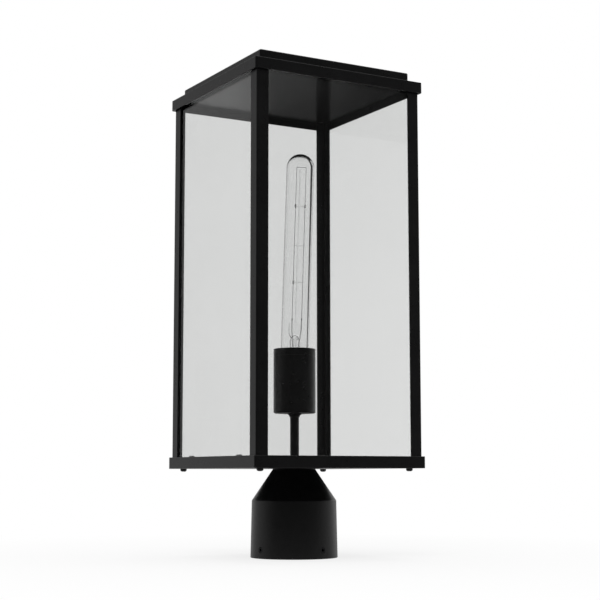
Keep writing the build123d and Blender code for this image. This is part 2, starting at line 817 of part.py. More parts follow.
with BuildPart() as lamp_cap:
    crest_radius = thread_crest_diameter / 2
    level = lamp_cap_bottom + thread_start
    with BuildSketch(Plane.XZ):
        with BuildLine():
            Line((lamp_cap_bore_radius, lamp_cap_bottom), (thread_root_radius, lamp_cap_bottom))
            Line((thread_root_radius, lamp_cap_bottom), (thread_root_radius, level))
            for turn in range(thread_turns):
                ThreePointArc(
                    (thread_root_radius, level),
                    (crest_radius, level + thread_pitch / 2),
                    (thread_root_radius, level + thread_pitch),
                )
                level += thread_pitch
            Line((thread_root_radius, level), (thread_root_radius, lamp_cap_top))
            Line((thread_root_radius, lamp_cap_top), (lamp_cap_bore_radius, lamp_cap_top))
            Line((lamp_cap_bore_radius, lamp_cap_top), (lamp_cap_bore_radius, lamp_cap_bottom))
        make_face()
    revolve(axis=Axis.Z)
lamp_cap.part.label = "lamp_cap"
export_step(lamp_cap.part, "parts/lamp_cap.step")

with BuildPart() as lamp_glass:
    revolve(lamp_outline(0, -lamp_neck_height), axis=lamp_axis)
    revolve(lamp_outline(lamp_wall, -lamp_neck_height), axis=lamp_axis, mode=Mode.SUBTRACT)
lamp_glass.part.label = "lamp_glass"
export_step(lamp_glass.part, "parts/lamp_glass.step")

with BuildPart() as lamp_mount:
    tube_radius = mount_tube_diameter / 2
    flare_radius = mount_flare_diameter / 2
    flare_top = mount_flare_height - lamp_neck_height
    waist_bottom = mount_tube_top - mount_waist_height
    with BuildSketch(lamp_section):
        with BuildLine():
            Polyline(
                (flare_radius - mount_wall, -lamp_neck_height),
                (flare_radius, -lamp_neck_height),
                (tube_radius, flare_top),
                (tube_radius, waist_bottom),
                (mount_waist_diameter / 2, mount_tube_top),
                (0, mount_tube_top),
                (0, waist_bottom),
                (tube_radius - mount_wall, waist_bottom),
                (tube_radius - mount_wall, flare_top),
                close=True,
            )
        make_face()
    revolve(axis=lamp_axis)
    with BuildSketch(lamp_level.offset(mount_tube_top - pinch_root)):
        RectangleRounded(pinch_width, pinch_thickness, pinch_thickness / 3)
    extrude(amount=pinch_top - mount_tube_top + pinch_root)
lamp_mount.part.label = "lamp_mount"
export_step(lamp_mount.part, "parts/lamp_mount.step")

with BuildPart() as lamp_rod:
    with BuildSketch(lamp_level.offset(pinch_top)):
        Circle(rod_diameter / 2)
    extrude(amount=filament_top - rod_top_gap - pinch_top)
    fillet(lamp_rod.faces().sort_by(lamp_axis)[-1].edges(), rod_diameter / 3)
lamp_rod.part.label = "lamp_rod"
export_step(lamp_rod.part, "parts/lamp_rod.step")

with BuildPart() as lamp_filament:
    with BuildLine(lamp_section) as strand:
        FilletPolyline(
            (strand_sides[0], filament_bottom),
            (strand_sides[0], filament_top),
            (strand_sides[1], filament_top),
            (strand_sides[1], filament_bottom),
            radius=strand_bend,
        )
    with BuildSketch(Plane(origin=strand.line @ 0, z_dir=strand.line % 0)):
        Circle(strand_diameter / 2)
    sweep()
lamp_filament.part.label = "lamp_filament"
export_step(lamp_filament.part, "parts/lamp_filament.step")

with BuildPart() as lamp_leads:
    with BuildSketch(lamp_level.offset(pinch_top)):
        with Locations(*strand_points):
            Circle(lead_diameter / 2)
    extrude(amount=filament_bottom - pinch_top)
lamp_leads.part.label = "lamp_leads"
export_step(lamp_leads.part, "parts/lamp_leads.step")

with BuildPart() as lamp_supports:
    eye_middle = (support_eye_diameter + support_eye_bore) / 4
    for height in support_heights:
        for side in strand_sides:
            outward = lamp_side if side > 0 else -lamp_side
            wire_start = lamp_pivot + lamp_up * height + outward * rod_diameter / 2
            with BuildSketch(Plane(origin=wire_start, z_dir=outward)):
                Circle(support_diameter / 2)
            extrude(amount=abs(side) - eye_middle - rod_diameter / 2)
        with BuildSketch(lamp_level.offset(height - support_eye_height / 2)):
            with Locations(*strand_points):
                Circle(support_eye_diameter / 2)
        extrude(amount=support_eye_height)
        with BuildSketch(lamp_level.offset(height - support_eye_height / 2)):
            with Locations(*strand_points):
                Circle(support_eye_bore / 2)
        extrude(amount=support_eye_height, mode=Mode.SUBTRACT)
lamp_supports.part.label = "lamp_supports"
export_step(lamp_supports.part, "parts/lamp_supports.step")
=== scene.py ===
import json
from math import cos, pi, radians, sin, sqrt, tau

import bmesh
import bpy
from mathutils import Matrix, Vector


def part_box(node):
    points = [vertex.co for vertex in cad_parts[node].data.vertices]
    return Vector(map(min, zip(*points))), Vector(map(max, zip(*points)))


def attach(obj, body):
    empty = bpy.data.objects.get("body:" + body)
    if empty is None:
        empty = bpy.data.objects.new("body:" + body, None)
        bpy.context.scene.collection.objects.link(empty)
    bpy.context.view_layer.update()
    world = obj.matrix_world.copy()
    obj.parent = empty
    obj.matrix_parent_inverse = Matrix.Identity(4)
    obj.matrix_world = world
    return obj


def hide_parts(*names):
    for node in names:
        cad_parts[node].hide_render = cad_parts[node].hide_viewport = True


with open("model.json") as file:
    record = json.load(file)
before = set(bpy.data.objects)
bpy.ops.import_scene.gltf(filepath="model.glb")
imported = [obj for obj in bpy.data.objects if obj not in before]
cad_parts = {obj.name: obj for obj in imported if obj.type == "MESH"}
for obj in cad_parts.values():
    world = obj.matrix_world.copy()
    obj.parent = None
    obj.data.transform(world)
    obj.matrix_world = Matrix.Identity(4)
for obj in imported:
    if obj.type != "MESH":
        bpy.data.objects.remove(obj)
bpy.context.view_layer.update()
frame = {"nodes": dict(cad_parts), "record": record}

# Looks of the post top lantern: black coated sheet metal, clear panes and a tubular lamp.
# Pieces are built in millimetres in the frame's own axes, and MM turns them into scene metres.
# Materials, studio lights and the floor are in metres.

MM = 0.001
scene = bpy.context.scene
nodes = frame["nodes"]


def turned_to(x_axis, y_axis, z_axis):
    """The rotation that turns X, Y and Z to three directions."""
    return Matrix((x_axis, y_axis, z_axis)).transposed().to_4x4()


# ---- Sizes shared with the CAD ---------------------------------------------------------------------

CAGE_SCREWS_AT, CAGE_SCREWS_HEIGHT = 83.4, 88.0
ROOF_SCREWS_AT, ROOF_SCREWS_HEIGHT = 79.0, 477.0
FITTER_SCREWS_AT, FITTER_SCREWS_HEIGHT = 13.5, 90.0
FITTER_TURN = radians(11.0)
SET_SCREW_COUNT = 4

LAMP_TIP_BOTTOM = 174.2
LAMP_CAP_BOTTOM, LAMP_CAP_TOP = 179.2, 203.2
SHELL_BOTTOM, SHELL_TOP = 170.7, 196.7
LAMP_LEAN = radians(1.8)
LAMP_TOWARD = radians(-29.7)
THREAD_PITCH = 3.629

# The lamp's own axes: Z runs up its leaning glass from the cap's top, and X towards the lean
LAMP_SIDE = Vector((
    cos(LAMP_LEAN) * cos(LAMP_TOWARD), cos(LAMP_LEAN) * sin(LAMP_TOWARD), -sin(LAMP_LEAN),
))
LAMP_UP = Vector((
    sin(LAMP_LEAN) * cos(LAMP_TOWARD), sin(LAMP_LEAN) * sin(LAMP_TOWARD), cos(LAMP_LEAN),
))
LAMP_FRAME = Matrix.Translation((0, 0, LAMP_CAP_TOP)) @ turned_to(
    LAMP_SIDE, LAMP_UP.cross(LAMP_SIDE), LAMP_UP
)
BULB_RADIUS, BULB_NECK, BULB_WALL, BULB_CROWN = 14.3, 11.6, 0.75, 193.3
GLASS_FOOT = -6.0
MOUNT_TOP = 32.0
ROD_RADIUS = 0.8
STRAND_SIDES = (-3.65, 6.05)
STRAND_FOOT, STRAND_TOP, STRAND_BEND = 35.0, 193.0, 1.0
SUPPORT_HEIGHTS = (74.0, 112.0, 153.0)


# ---- Node helpers ----------------------------------------------------------------------------------


class NodeKit:
    """Adds nodes to a tree. An input that is a socket is linked, and any other is set."""

    def __init__(self, tree):
        self.tree = tree

    def add(self, kind, inputs=None, **settings):
        node = self.tree.nodes.new(kind)
        for key, value in settings.items():
            setattr(node, key, value)
        for key, value in (inputs or {}).items():
            if isinstance(value, bpy.types.NodeSocket):
                self.tree.links.new(value, node.inputs[key])
            else:
                node.inputs[key].default_value = value
        return node

    def ramp(self, fac, *stops):
        node = self.add("ShaderNodeValToRGB", {"Fac": fac})
        while len(node.color_ramp.elements) < len(stops):
            node.color_ramp.elements.new(0.5)
        for element, (position, colour) in zip(node.color_ramp.elements, stops):
            element.position = position
            element.color = (*colour, 1.0) if isinstance(colour, tuple) else (colour,) * 3 + (1.0,)
        return node.outputs["Color"]

    def span(self, value, low, high, to_low, to_high):
        return self.add(
            "ShaderNodeMapRange",
            {"Value": value, "From Min": low, "From Max": high, "To Min": to_low, "To Max": to_high},
        ).outputs["Result"]

    def math(self, operation, first, second=0.0):
        return self.add("ShaderNodeMath", {0: first, 1: second}, operation=operation).outputs[0]

    def dot(self, vector, way):
        inputs = {0: vector, 1: way}
        return self.add("ShaderNodeVectorMath", inputs, operation="DOT_PRODUCT").outputs["Value"]


class Shade(NodeKit):
    """A material being built round its one Principled shader."""

    def __init__(self, name, **sockets):
        self.material = bpy.data.materials.new(name)
        self.material.use_nodes = True
        super().__init__(self.material.node_tree)
        self.bsdf = self.tree.nodes["Principled BSDF"]
        self.output = self.tree.nodes["Material Output"]
        for socket, value in sockets.items():
            self.bsdf.inputs[socket.replace("_", " ")].default_value = value

    def place(self):
        return self.add("ShaderNodeTexCoord").outputs["Object"]

    def noise(self, scale, detail=3.0, roughness=0.55, stretch=(1, 1, 1), distortion=0.0):
        where = self.place()
        if stretch != (1, 1, 1):
            where = self.add("ShaderNodeMapping", {"Vector": where, "Scale": stretch}).outputs[0]
        return self.add(
            "ShaderNodeTexNoise",
            {"Vector": where, "Scale": scale, "Detail": detail, "Roughness": roughness,
             "Distortion": distortion},
        ).outputs["Fac"]

    def colour(self, socket):
        self.tree.links.new(socket, self.bsdf.inputs["Base Color"])

    def rough(self, socket):
        self.tree.links.new(socket, self.bsdf.inputs["Roughness"])

    def bump(self, *layers):
        """Each layer is a height socket with its depth in metres; the last one lies on top."""
        normal = None
        for height, depth in layers:
            inputs = {"Height": height, "Distance": depth, "Strength": 1.0}
            if normal is not None:
                inputs["Normal"] = normal
            normal = self.add("ShaderNodeBump", inputs).outputs["Normal"]
        self.tree.links.new(normal, self.bsdf.inputs["Normal"])

    def blend_surface(self, share, shader):
        """Shows another shader in place of the Principled one, by a share."""
        mix = self.add("ShaderNodeMixShader", {0: share, 1: self.bsdf.outputs[0], 2: shader.outputs[0]})
        self.tree.links.new(mix.outputs[0], self.output.inputs["Surface"])

    def pass_shadow_rays(self, level):
        """Lets the light of the studio's lights straight through, at a level of red, green and blue."""
        clear = self.add("ShaderNodeBsdfTransparent", {"Color": (*level, 1.0)})
        self.blend_surface(self.add("ShaderNodeLightPath").outputs["Is Shadow Ray"], clear)


def times(colour, factor):
    return tuple(channel * factor for channel in colour)


# ---- Materials -------------------------------------------------------------------------------------


def coat(name, peel_scale, peel_depth, base, roughness, casting=False):
    """Black powder coat: orange peel, uneven gloss and a faint change of tone; coarser on a casting."""
    m = Shade(name, IOR=1.5)
    tone = m.noise(38.0, detail=5.0)
    m.colour(m.ramp(tone, (0.3, times(base, 0.8)), (0.7, times(base, 1.25))))
    gloss = m.noise(160.0, detail=4.0, roughness=0.6)
    m.rough(m.span(gloss, 0.25, 0.75, roughness - 0.045, roughness + 0.05))
    layers = [(m.noise(peel_scale, detail=2.0), peel_depth)]
    if casting:
        layers.insert(0, (m.noise(260.0, detail=3.0), 0.00009))
    m.bump(*layers)
    return m.material


def screw_finish(name, base, roughness, metallic):
    """Blackened steel with a fine grain."""
    m = Shade(name, Metallic=metallic, IOR=1.5)
    tone = m.noise(420.0, detail=4.0)
    m.colour(m.ramp(tone, (0.3, times(base, 0.7)), (0.72, times(base, 1.3))))
    m.rough(m.span(m.noise(900.0), 0.3, 0.7, roughness - 0.07, roughness + 0.08))
    m.bump((m.noise(1600.0, detail=2.0), 0.000012))
    return m.material


def plated(name, dark, bright, roughness, turned=True):
    """Plated or bare metal with dull spots, and with marks that go round it where it was turned."""
    m = Shade(name, Metallic=1.0)
    spots = m.noise(240.0, detail=6.0, roughness=0.65)
    m.colour(m.ramp(spots, (0.28, dark), (0.6, bright)))
    m.rough(m.span(m.noise(700.0, detail=4.0), 0.25, 0.75, roughness - 0.06, roughness + 0.14))
    marks = m.noise(1.0, detail=3.0, stretch=(120.0, 120.0, 5200.0)) if turned else m.noise(2200.0)
    m.bump((marks, 0.00001))
    return m.material


PANE_TINTS = ((0.872, 0.877, 0.873), (0.892, 0.896, 0.893), (0.93, 0.933, 0.931))
# Heights in metres over which the painted light at a pane's foot fades out
PANE_FOOT, PANE_HEAD = 0.1, 0.46


def window_glass(name, painted_light_level, foot_painted_light=0.0):
    """Clear float glass with a faint haze and wipe marks, with painted light and shade: its tint is
    scaled by a level for each pane, and a foot lift makes it clearer low down.
    """
    m = Shade(name, IOR=1.5, Transmission_Weight=1.0)
    haze = m.noise(9.0, detail=4.0, roughness=0.6)
    height = m.add("ShaderNodeSeparateXYZ", {0: m.place()}).outputs["Z"]
    # Painted light: the tint is lighter low on the pane and fades out by PANE_HEAD
    foot_light = m.span(height, PANE_FOOT, PANE_HEAD, foot_painted_light, 0.0)
    clear = m.math("ADD", m.math("MULTIPLY", haze, 0.5), foot_light)
    # Each pane's tints are scaled by its level: painted light above 1, painted shade below 1
    hazy, middle, clearest = [tuple(min(1.0, c) for c in times(tint, painted_light_level)) for tint in PANE_TINTS]
    m.colour(m.ramp(clear, (0.1, hazy), (0.4, middle), (0.9, clearest)))
    wipes = m.noise(5.0, detail=6.0, stretch=(1.0, 1.0, 3.5), distortion=0.6)
    m.rough(m.span(wipes, 0.5, 0.85, 0.0, 0.008))
    m.pass_shadow_rays((0.86, 0.865, 0.86))
    return m.material


def lamp_glass(name, density, ior):
    """Drawn glass with a grey body, so that its walls show as thin lines."""
    m = Shade(name, IOR=ior, Transmission_Weight=1.0, Base_Color=(1.0, 1.0, 1.0, 1.0))
    m.rough(m.span(m.noise(30.0, detail=3.0), 0.5, 0.85, 0.0, 0.01))
    m.bump((m.noise(1.0, detail=2.0, stretch=(60.0, 60.0, 5.0)), 0.00001))
    body = m.add("ShaderNodeVolumeAbsorption", {"Color": (0.45, 0.45, 0.45, 1.0), "Density": density})
    m.tree.links.new(body.outputs[0], m.output.inputs["Volume"])
    m.pass_shadow_rays((0.93, 0.93, 0.93))
    return m.material


def glazed(name, shadow, light):
    """A glassy skin over a speckled body."""
    m = Shade(name, IOR=1.52, Coat_Weight=0.8, Coat_Roughness=0.08)
    spots = m.noise(900.0, detail=4.0, roughness=0.7)
    m.colour(m.ramp(spots, (0.2, shadow), (0.42, light), (0.9, light)))
    m.rough(m.span(m.noise(150.0), 0.3, 0.7, 0.3, 0.42))
    m.bump((m.noise(120.0, detail=2.0), 0.00006))
    return m.material


def moulded(name, base, roughness):
    """Moulded plastic or glass with a matt grain."""
    m = Shade(name, IOR=1.53)
    m.colour(m.ramp(m.noise(300.0, detail=3.0), (0.3, times(base, 0.85)), (0.7, base)))
    m.rough(m.span(m.noise(800.0), 0.3, 0.7, roughness - 0.06, roughness + 0.08))
    m.bump((m.noise(2400.0, detail=2.0), 0.000015))
    return m.material


COAT_BASE = (0.0037, 0.0037, 0.0039)
WIRE_DARK, WIRE_BRIGHT = (0.05, 0.05, 0.052), (0.14, 0.14, 0.145)

MATERIALS = {
    "sheet_coat": coat("sheet_coat_black", 1500.0, 0.00003, COAT_BASE, 0.3),
    "cast_coat": coat("cast_coat_black", 1100.0, 0.00004, COAT_BASE, 0.34, casting=True),
    "black_screw": screw_finish("black_screw_finish", (0.008, 0.008, 0.0085), 0.34, 0.0),
    "black_oxide": screw_finish("black_oxide_steel", (0.02, 0.02, 0.022), 0.42, 0.6),
    "zinc_steel": plated("zinc_plated_steel", (0.42, 0.43, 0.45), (0.66, 0.67, 0.68), 0.34),
    "pane_glass": window_glass("pane_glass_clear", 1.0),
    "lamp_glass": lamp_glass("lamp_glass_clear", 30.0, 1.34),
    "brass": plated("brass_drawn", (0.42, 0.27, 0.09), (0.72, 0.52, 0.22), 0.26),
    "filament_wire": plated("filament_wire_grey", WIRE_DARK, WIRE_BRIGHT, 0.5, turned=False),
    "black_vitrite": glazed("black_vitrite_glass", (0.004, 0.004, 0.005), (0.012, 0.012, 0.014)),
    "solder": plated("solder_grey", (0.3, 0.3, 0.31), (0.55, 0.55, 0.56), 0.4, turned=False),
    "nylon": moulded("nylon_natural", (0.62, 0.6, 0.54), 0.45),
    "porcelain": glazed("porcelain_white", (0.6, 0.59, 0.56), (0.8, 0.79, 0.76)),
}

# Pieces that look a little different from the others in their slot
STEM_GLASS = lamp_glass("lamp_stem_clear", 5.0, 1.3)
LEAD_WIRE = plated("lead_wire_nickel", (0.3, 0.3, 0.31), (0.5, 0.5, 0.51), 0.4, turned=False)
BEAD_WHITE = moulded("bead_white", (0.95, 0.95, 0.94), 0.4)
# Copies with painted light and shade: the front pane's darker tint is painted shade, the left and right
# panes' lighter tints are painted light, and the right pane also has painted light low down
LOOKS_WITH_PAINTED_LIGHT = {
    # The liner's darker base is painted shade under the roof; its lower roughness and flatter peel are
    # its own gloss
    "roof_liner": coat("liner_coat_painted_shade", 1500.0, 0.0000025, (0.0025, 0.0025, 0.0026), 0.2),
    "pane_front": window_glass("pane_glass_front_painted_shade", 0.965),
    "pane_left": window_glass("pane_glass_left_painted_light", 1.035),
    "pane_right": window_glass("pane_glass_right_painted_light", 1.07, foot_painted_light=0.9),
}

record_slot = {row["node"]: row["material_slot"] for row in frame["record"]["subparts"]}


# ---- Mesh helpers ----------------------------------------------------------------------------------


def sealed(mesh):
    """The mesh with its doubled points merged and its faces turned outward."""
    shape = bmesh.new()
    shape.from_mesh(mesh)
    bmesh.ops.remove_doubles(shape, verts=shape.verts, dist=1e-7)
    bmesh.ops.recalc_face_normals(shape, faces=shape.faces)
    shape.to_mesh(mesh)
    shape.free()
    return mesh


def finish_piece(name, mesh, stands_for, body, slot, crease=35.0, material=None):
    """Links the piece, smooths it except where its faces turn sharply, and hides the CAD nodes it stands
    for.
    """
    mesh.name = name
    mesh.validate()
    sealed(mesh)
    mesh.shade_smooth()
    mesh.set_sharp_from_angle(angle=radians(crease))
    mesh.materials.clear()
    mesh.materials.append(material or MATERIALS[slot])
    piece = bpy.data.objects.new(name, mesh)
    scene.collection.objects.link(piece)
    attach(piece, body)
    for node_name in stands_for:
        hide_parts(node_name)
    return piece


class Solid:
    """Points and faces in millimetres, gathered from several turned or lofted forms."""

    def __init__(self):
        self.points, self.faces = [], []

    def rings(self, rings, closed=False):
        """Joins rings of points, each a list of one point or of equally many, in their order."""
        groups = []
        for ring in rings:
            groups.append([len(self.points) + k for k in range(len(ring))])
            self.points += [tuple(p) for p in ring]
        pairs = list(zip(groups, groups[1:]))
        if closed:
            pairs.append((groups[-1], groups[0]))
        for low, high in pairs:
            count = max(len(low), len(high))
            for k in range(count):
                nxt = (k + 1) % count
                corners = [low[k % len(low)], low[nxt % len(low)],
                           high[nxt % len(high)], high[k % len(high)]]
                corners = list(dict.fromkeys(corners))
                if len(corners) > 2:
                    self.faces.append(corners)

    def turn(self, outline, segments, closed=False, wave=None):
        """Turns an outline of (radius, height[, share of the wave]) about Z."""
        rings = []
        for radius, height, *share in outline:
            if radius < 1e-6:
                rings.append([(0.0, 0.0, height)])
                continue
            ring = []
            for k in range(segments):
                angle = tau * k / segments
                extra = wave(angle, height) * share[0] if wave and share else 0.0
                ring.append(((radius + extra) * cos(angle), (radius + extra) * sin(angle), height))
            rings.append(ring)
        self.rings(rings, closed)

    def sides(self, base, count):
        """The side faces between two rings of equally many points that follow each other."""
        for k in range(count):
            nxt = (k + 1) % count
            self.faces.append([base + k, base + nxt, base + count + nxt, base + count + k])

    def prism(self, section, low, high):
        """A closed prism over a section of (x, y) points."""
        base = len(self.points)
        count = len(section)
        self.points += [(x, y, low) for x, y in section] + [(x, y, high) for x, y in section]
        self.sides(base, count)
        self.faces.append([base + k for k in range(count)][::-1])
        self.faces.append([base + count + k for k in range(count)])

    def take_in(self, other, aside):
        """Adds another solid, moved along X."""
        base = len(self.points)
        self.points += [(x + aside, y, z) for x, y, z in other.points]
        self.faces += [[base + i for i in face] for face in other.faces]

    def mesh(self, name, matrix=None):
        """A mesh in metres, first moved by a matrix in millimetres."""
        points = self.points
        if matrix is not None:
            points = [matrix @ Vector(p) for p in points]
        mesh = bpy.data.meshes.new(name)
        mesh.from_pydata([tuple(c * MM for c in p) for p in points], [], self.faces)
        return mesh


def evaluated_mesh(item):
    """The mesh of an object as its modifiers or its curve settings make it."""
    bpy.context.view_layer.update()
    return bpy.data.meshes.new_from_object(item.evaluated_get(bpy.context.evaluated_depsgraph_get()))


def tube_mesh(name, paths, radius, sides, matrix):
    """Round wires with closed ends along paths in millimetres."""
    curve = bpy.data.curves.new(name, "CURVE")
    curve.dimensions = "3D"
    curve.bevel_depth = radius * MM
    curve.bevel_resolution = max(0, sides // 2 - 2)
    curve.use_fill_caps = True
    for path in paths:
        line = curve.splines.new("POLY")
        line.points.add(len(path) - 1)
        for point, place in zip(line.points, path):
            point.co = (*(matrix @ Vector(place) * MM), 1.0)
    holder = bpy.data.objects.new(name, curve)
    scene.collection.objects.link(holder)
    mesh = evaluated_mesh(holder)
    bpy.data.objects.remove(holder)
    return mesh


def join(name, meshes):
    """One mesh of several."""
    shape = bmesh.new()
    for mesh in meshes:
        shape.from_mesh(mesh)
    joined = bpy.data.meshes.new(name)
    shape.to_mesh(joined)
    shape.free()
    return joined


def cut_out(mesh, cutter_mesh):
    """The mesh less the cutter, by an exact boolean."""
    body = bpy.data.objects.new("cut_body", mesh)
    cutter = bpy.data.objects.new("cut_tool", cutter_mesh)
    for item in (body, cutter):
        scene.collection.objects.link(item)
    step = body.modifiers.new("cut", "BOOLEAN")
    step.object, step.operation, step.solver = cutter, "DIFFERENCE", "EXACT"
    result = evaluated_mesh(body)
    for item in (body, cutter):
        bpy.data.objects.remove(item)
    return result


def arc(centre, radius, start, end, steps):
    """Points of an arc in a plane, its angles in degrees."""
    return [
        (centre[0] + radius * cos(radians(start + (end - start) * k / steps)),
         centre[1] + radius * sin(radians(start + (end - start) * k / steps)))
        for k in range(steps + 1)
    ]


def steps_between(low, high, step):
    """Equal steps from low to high, each near the length asked for."""
    count = max(1, round((high - low) / step))
    return [low + (high - low) * k / count for k in range(count + 1)]


def ease(share):
    """A smooth way from 0 to 1."""
    return share * share * (3 - 2 * share)


def fade_at_ends(height, low, high, fade):
    return min(1.0, max(0.0, (height - low) / fade), max(0.0, (high - height) / fade))


# ---- Screws ----------------------------------------------------------------------------------------

PAN_HEAD_RADIUS, PAN_HEAD_SIDE = 3.3, 1.1
PAN_DOME_WIDTH, PAN_DOME_RISE = 2.0, 1.75
PAN_THREAD_DEPTH, PAN_THREAD_PITCH, PAN_ROOT_RADIUS = 0.3, 0.7, 1.7
RECESS_FLOOR, RECESS_TOP = 1.35, 3.4
KEY_RADIUS, KEY_DEPTH = 1.5, 2.2


def thread_wave(depth, pitch, low, high, fade):
    """A right-handed thread's height above its root, faded out at both ends."""

    def wave(angle, height):
        turn = (height / pitch - angle / tau) % 1.0
        crest = max(0.0, 1.0 - abs(turn - 0.5) * 2.6)
        return depth * min(1.0, crest * 1.15) * fade_at_ends(height, low, high, fade)

    return wave


def recess_blade(across):
    """One blade of the cross recess, which narrows towards its floor."""
    blade = Solid()
    for height, half, wide in ((RECESS_FLOOR, 0.75, 0.35), (RECESS_TOP, 1.85, 0.5)):
        for x, y in ((-half, -wide), (half, -wide), (half, wide), (-half, wide)):
            blade.points.append(
                (x * cos(across) - y * sin(across), x * sin(across) + y * cos(across), height)
            )
    blade.faces += [[3, 2, 1, 0], [4, 5, 6, 7]]
    blade.sides(0, 4)
    return blade


def pan_screw(length):
    """A pan head screw with a cross recess: its head stands on z = 0 and its shank goes down."""
    outline = [(0.0, -length), (1.35, -length)]
    outline += [(PAN_ROOT_RADIUS, height, 1.0) for height in steps_between(-length + 0.35, -0.3, 0.1)]
    outline += [(PAN_ROOT_RADIUS + 0.05, 0.0), (PAN_HEAD_RADIUS - 0.1, 0.0)]
    outline += [(PAN_HEAD_RADIUS, 0.1), (PAN_HEAD_RADIUS, PAN_HEAD_SIDE)]
    outline += [
        (PAN_HEAD_RADIUS - PAN_DOME_WIDTH * (1 - cos(radians(a))),
         PAN_HEAD_SIDE + PAN_DOME_RISE * sin(radians(a)))
        for a in range(15, 90, 15)
    ]
    outline += [(1.1, 2.9), (0.0, 2.96)]
    body = Solid()
    body.turn(outline, 28, wave=thread_wave(PAN_THREAD_DEPTH, PAN_THREAD_PITCH, -length, -0.3, 0.5))
    mesh = sealed(body.mesh("screw_body"))
    for across in (0.0, pi / 2):
        mesh = cut_out(mesh, sealed(recess_blade(across).mesh("screw_recess")))
    return mesh


def screw_set(name, node_name, length, places, up, turns, body, slot):
    """One screw mesh repeated at its places; `up` is +1 for heads on top and -1 for heads below."""
    one = pan_screw(length)
    copies = []
    for place, turn in zip(places, turns):
        copy = one.copy()
        matrix = Matrix.Translation(Vector(place) * MM) @ Matrix.Rotation(turn, 4, "Z")
        if up < 0:
            matrix = matrix @ Matrix.Rotation(pi, 4, "X")
        copy.transform(matrix)
        copies.append(copy)
    return finish_piece(name, join(name, copies), [node_name], body, slot, crease=32.0)


def four_corners(position, height):
    """The corners of a square about the axis, anticlockwise from the front left."""
    return [(x * position, y * position, height) for x, y in ((-1, -1), (1, -1), (1, 1), (-1, 1))]


def on_circle(radius, height, count):
    """Equally spaced points on a circle about the axis."""
    return [
        (radius * cos(tau * k / count), radius * sin(tau * k / count), height) for k in range(count)
    ]


def reach_along(node, way):
    """How near and how far a CAD node's points lie along a direction, in millimetres."""
    along = [point.co.dot(way) / MM for point in node.data.vertices]
    return min(along), max(along)


def set_screw(number, angle):
    """A socket set screw that lies along a radius, its socket outward, as long as its CAD node."""
    outward = Vector((cos(angle), sin(angle), 0.0))
    inner_end, face = reach_along(nodes[f"set_screw_{number}"], outward)
    length = face - inner_end
    outline = [(0.0, -length + 0.45), (1.5, -length + 0.05), (1.75, -length)]
    outline += [(2.55, height, 1.0) for height in steps_between(-length + 0.5, -0.12, 0.11)]
    outline += [(2.4, 0.0), (0.0, 0.0)]
    body = Solid()
    body.turn(outline, 48, wave=thread_wave(0.35, 1.0, -length + 0.1, -0.05, 0.3))
    key = Solid()
    key.prism([(x, y) for x, y, _ in on_circle(KEY_RADIUS / cos(pi / 6), 0.0, 6)], -KEY_DEPTH, 0.6)
    mesh = cut_out(sealed(body.mesh("set_body")), sealed(key.mesh("set_key")))
    low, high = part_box(f"set_screw_{number}")
    place = outward * face * MM + Vector((0, 0, (low.z + high.z) / 2))
    upward = Vector((0, 0, 1))
    mesh.transform(Matrix.Translation(place) @ turned_to(upward, outward.cross(upward), outward))
    finish_piece(f"set_screw_threaded_{number}", mesh, [f"set_screw_{number}"], f"set_screw_{number}",
                 "black_oxide", crease=32.0)


screw_set("cage_screws_threaded", "cage_screws", 7.0, four_corners(CAGE_SCREWS_AT, CAGE_SCREWS_HEIGHT),
          -1, (0.3, 1.0, 0.65, 1.35), "base", "black_screw")
screw_set("roof_screws_threaded", "roof_screws", 5.4, four_corners(ROOF_SCREWS_AT, ROOF_SCREWS_HEIGHT),
          1, (0.2, 0.9, 1.3, 0.5), "cage", "black_screw")
screw_set("fitter_screws_threaded", "fitter_screws", 7.0,
          on_circle(FITTER_SCREWS_AT, FITTER_SCREWS_HEIGHT, 3), 1, (0.4, 1.1, 0.8), "base", "zinc_steel")
for index in range(SET_SCREW_COUNT):
    set_screw(index + 1, FITTER_TURN + tau * index / SET_SCREW_COUNT)


# ---- Lamp and its shell ----------------------------------------------------------------------------


def rolled_wave(low, high, fade):
    """The rolled thread's round wave, in step on the lamp's cap and in the holder's shell."""

    def wave(angle, height):
        round_wave = 0.5 + 0.5 * cos(tau * (height / THREAD_PITCH - angle / tau - 0.1))
        return round_wave * fade_at_ends(height, low, high, fade)

    return wave


def lamp_cap():
    """The cap's sheet brass: foot, rolled thread, plain skirt and a rim turned round the glass."""
    wall = 0.35
    outer = [(11.6, LAMP_CAP_BOTTOM), (12.2, LAMP_CAP_BOTTOM + 0.35)]
    outer += [(12.5, h, 0.58) for h in steps_between(LAMP_CAP_BOTTOM + 0.9, LAMP_CAP_TOP - 2.4, 0.3)]
    outer += [(12.55, LAMP_CAP_TOP - 1.6), (12.75, LAMP_CAP_TOP - 0.9), (12.8, LAMP_CAP_TOP - 0.3),
              (12.65, LAMP_CAP_TOP)]
    inner = [(r - wall, h, *share) for r, h, *share in reversed(outer)]
    cap = Solid()
    cap.turn(outer + inner, 96, closed=True,
             wave=rolled_wave(LAMP_CAP_BOTTOM + 1.2, LAMP_CAP_TOP - 3.2, 1.4))
    finish_piece("lamp_cap_rolled", cap.mesh("cap"), ["lamp_cap"], "lamp", "brass", crease=50.0)


